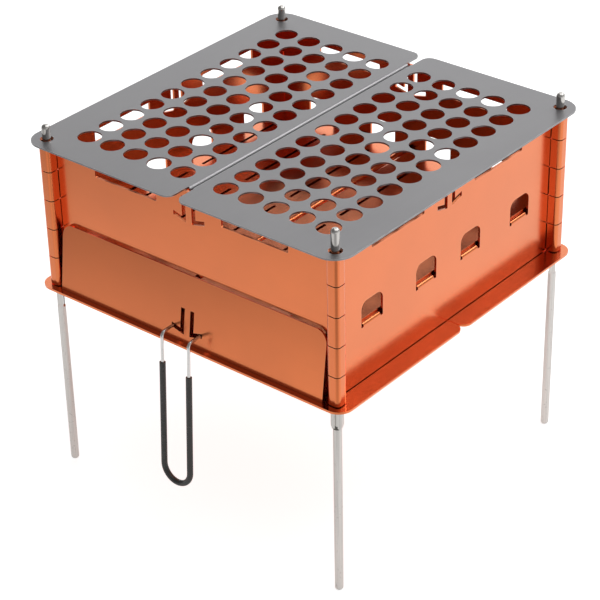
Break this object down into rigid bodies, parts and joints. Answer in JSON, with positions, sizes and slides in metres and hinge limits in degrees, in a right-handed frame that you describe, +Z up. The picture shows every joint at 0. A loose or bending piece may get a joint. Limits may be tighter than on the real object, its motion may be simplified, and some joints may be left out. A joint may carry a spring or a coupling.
{
  "type": "folding charcoal grill",
  "caption": "Flat-pack fire-box grill: hinged sheet walls pinned by rod legs, split base and perforated cooking plates, slotted fire grate, and an ash drawer pulled by a wire handle.",
  "frame": {"origin": "on the ground, midway between the feet of the rods", "axes": "+Z up, -Y out of the drawer face, +X along the drawer face to its right as seen from outside"},
  "size_m": [0.274, 0.2862, 0.2808],
  "materials": {
    "copper_coat": "satin metallic copper-orange",
    "plate_steel": "brushed grey steel",
    "rod_steel": "bright drawn steel",
    "sleeve_plastic": "black dipped sleeve"
  },
  "bodies": {
    "box": {"front_wall": "copper_coat", "right_wall": "copper_coat", "back_wall": "copper_coat", "left_wall": "copper_coat", "base_plate_front": "copper_coat", "base_plate_back": "copper_coat"},
    "grill_left": {"grill_plate_left": "plate_steel"},
    "grill_right": {"grill_plate_right": "plate_steel"},
    "grate_left": {"fire_grate_left": "copper_coat"},
    "grate_right": {"fire_grate_right": "copper_coat"},
    "drawer": {"ash_drawer": "copper_coat"},
    "handle": {"handle_wire": "rod_steel", "handle_sleeve": "sleeve_plastic"},
    "rod_front_left": {"leg_rod_front_left": "rod_steel"},
    "rod_front_right": {"leg_rod_front_right": "rod_steel"},
    "rod_back_left": {"leg_rod_back_left": "rod_steel"},
    "rod_back_right": {"leg_rod_back_right": "rod_steel"}
  },
  "joints": [
    {"name": "grill_left_lift", "type": "slide", "parent": "box", "child": "grill_left", "axis": [0, 0, 1], "range_m": [0, 0.06]},
    {"name": "grill_right_lift", "type": "slide", "parent": "box", "child": "grill_right", "axis": [0, 0, 1], "range_m": [0, 0.06]},
    {"name": "grate_left_lift", "type": "slide", "parent": "box", "child": "grate_left", "axis": [0, 0, 1], "range_m": [0, 0.055]},
    {"name": "grate_right_lift", "type": "slide", "parent": "box", "child": "grate_right", "axis": [0, 0, 1], "range_m": [0, 0.055]},
    {"name": "drawer_slide", "type": "slide", "parent": "box", "child": "drawer", "axis": [0, -1, 0], "range_m": [0, 0.2]},
    {"name": "handle_swing", "type": "hinge", "parent": "drawer", "child": "handle", "pos_m": [0, -0.12864, 0.16101], "axis": [-1, 0, 0], "range_deg": [0, 20]},
    {"name": "rod_front_left_pull", "type": "slide", "parent": "box", "child": "rod_front_left", "axis": [0, 0, -1], "range_m": [0, 0.285]},
    {"name": "rod_front_right_pull", "type": "slide", "parent": "box", "child": "rod_front_right", "axis": [0, 0, -1], "range_m": [0, 0.285]},
    {"name": "rod_back_left_pull", "type": "slide", "parent": "box", "child": "rod_back_left", "axis": [0, 0, -1], "range_m": [0, 0.285]},
    {"name": "rod_back_right_pull", "type": "slide", "parent": "box", "child": "rod_back_right", "axis": [0, 0, -1], "range_m": [0, 0.285]}
  ]
}
